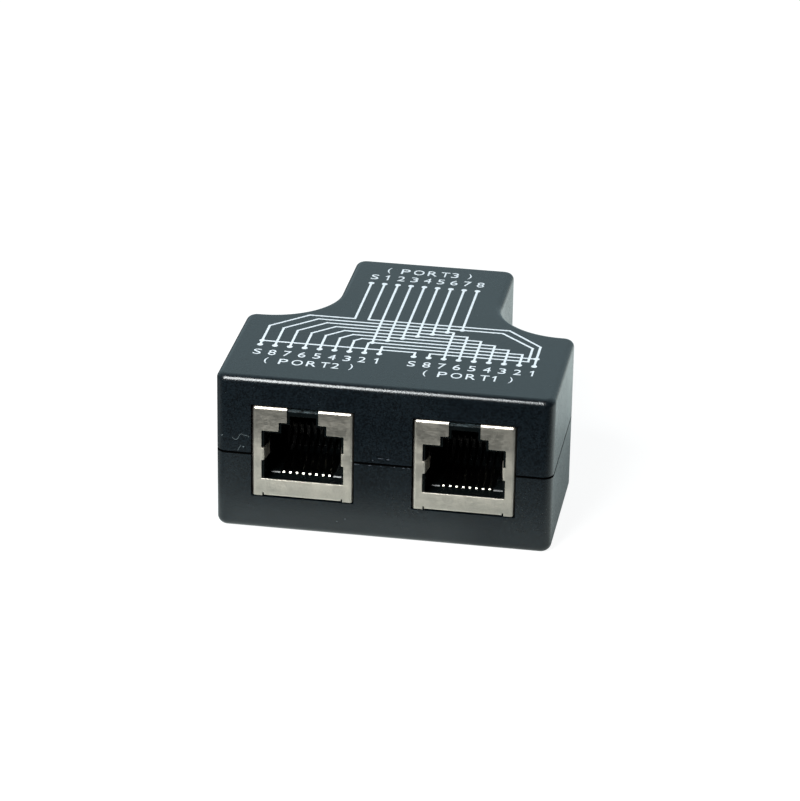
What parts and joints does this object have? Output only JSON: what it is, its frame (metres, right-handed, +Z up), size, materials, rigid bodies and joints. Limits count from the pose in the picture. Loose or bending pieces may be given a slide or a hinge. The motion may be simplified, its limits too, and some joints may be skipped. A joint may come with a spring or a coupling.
{
  "type": "ethernet cable splitter",
  "caption": "Flat T-shaped moulded case with shielded modular network sockets side by side in its wide front and in the end of its neck, for splitting a cable.",
  "frame": {"origin": "middle of the case's underside", "axes": "+X across the two front sockets, +Y from the front face towards the neck, +Z up through the printed roof"},
  "size_m": [0.0516, 0.0502, 0.0254],
  "materials": {
    "case_plastic": "fine spark-eroded black moulding",
    "socket_plastic": "smooth black moulding",
    "shield_metal": "satin nickel-plated sheet",
    "contact_metal": "bright gold-plated spring wire",
    "board_laminate": "green glass-epoxy laminate"
  },
  "bodies": {
    "root": {"top_shell": "case_plastic", "bottom_shell": "case_plastic", "circuit_board": "board_laminate", "port1_housing": "socket_plastic", "port1_insert": "socket_plastic", "port1_shield": "shield_metal", "port2_housing": "socket_plastic", "port2_insert": "socket_plastic", "port2_shield": "shield_metal", "port3_housing": "socket_plastic", "port3_insert": "socket_plastic", "port3_shield": "shield_metal", "port1_contact_1": "contact_metal", "port1_contact_2": "contact_metal", "port1_contact_3": "contact_metal", "port1_contact_4": "contact_metal", "port1_contact_5": "contact_metal", "port1_contact_6": "contact_metal", "port1_contact_7": "contact_metal", "port1_contact_8": "contact_metal", "port2_contact_1": "contact_metal", "port2_contact_2": "contact_metal", "port2_contact_3": "contact_metal", "port2_contact_4": "contact_metal", "port2_contact_5": "contact_metal", "port2_contact_6": "contact_metal", "port2_contact_7": "contact_metal", "port2_contact_8": "contact_metal", "port3_contact_1": "contact_metal", "port3_contact_2": "contact_metal", "port3_contact_3": "contact_metal", "port3_contact_4": "contact_metal", "port3_contact_5": "contact_metal", "port3_contact_6": "contact_metal", "port3_contact_7": "contact_metal", "port3_contact_8": "contact_metal"}
  },
  "joints": []
}
